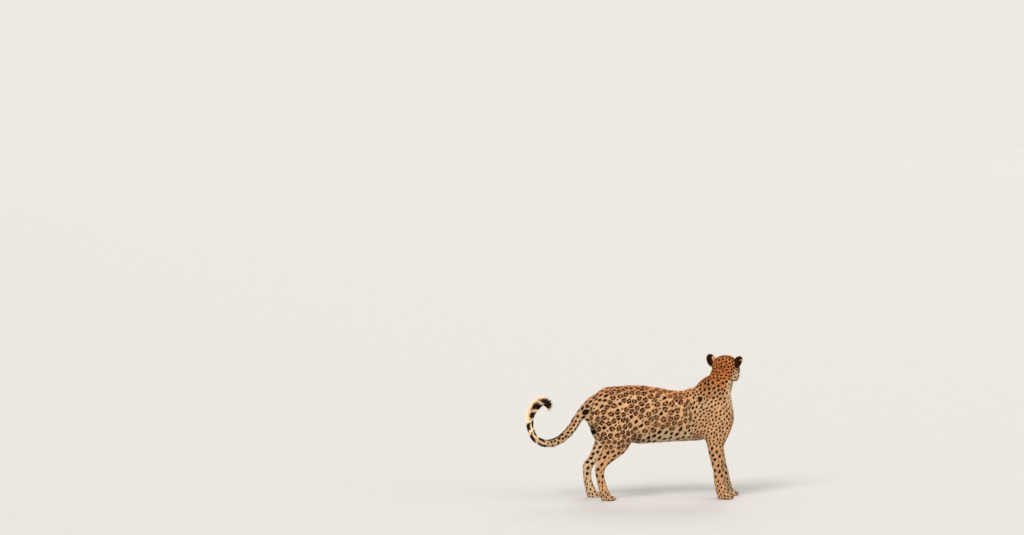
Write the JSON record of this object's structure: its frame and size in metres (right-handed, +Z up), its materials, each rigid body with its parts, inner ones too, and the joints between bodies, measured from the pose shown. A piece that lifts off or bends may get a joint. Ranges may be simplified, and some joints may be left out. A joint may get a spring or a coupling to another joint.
{
  "type": "leopard figure",
  "caption": "Life-size leopard standing still on four flat soles, head raised and turned to its left, tail hanging and curled up at the end.",
  "frame": {"origin": "middle of the bounding box, on the floor under the soles", "axes": "+X towards the front of the body, +Y towards the animal's left, +Z up"},
  "size_m": [1.2136, 0.306, 0.7987],
  "materials": {
    "coat": "short dense fur, orange-buff with dark rosettes",
    "rufous_coat": "short dense fur, red-brown with small dark spots",
    "pale_coat": "soft pale fur with dark spots",
    "ear_back": "short black fur",
    "nose_leather": "bare moist skin",
    "eye": "glossy amber"
  },
  "bodies": {
    "root": {"belly": "pale_coat", "chest": "coat", "ear_left": "ear_back", "ear_right": "ear_back", "eye_left": "eye", "eye_right": "eye", "forearm_left": "coat", "forearm_right": "coat", "forepaw_left": "coat", "forepaw_right": "coat", "head": "rufous_coat", "hindpaw_left": "coat", "hindpaw_right": "coat", "neck": "rufous_coat", "nose": "nose_leather", "rump": "coat", "shank_left": "coat", "shank_right": "coat", "shoulder_left": "coat", "shoulder_right": "coat", "tail_bend": "coat", "tail_middle": "coat", "tail_root": "coat", "tail_tip": "coat", "thigh_left": "coat", "thigh_right": "coat"}
  },
  "joints": []
}
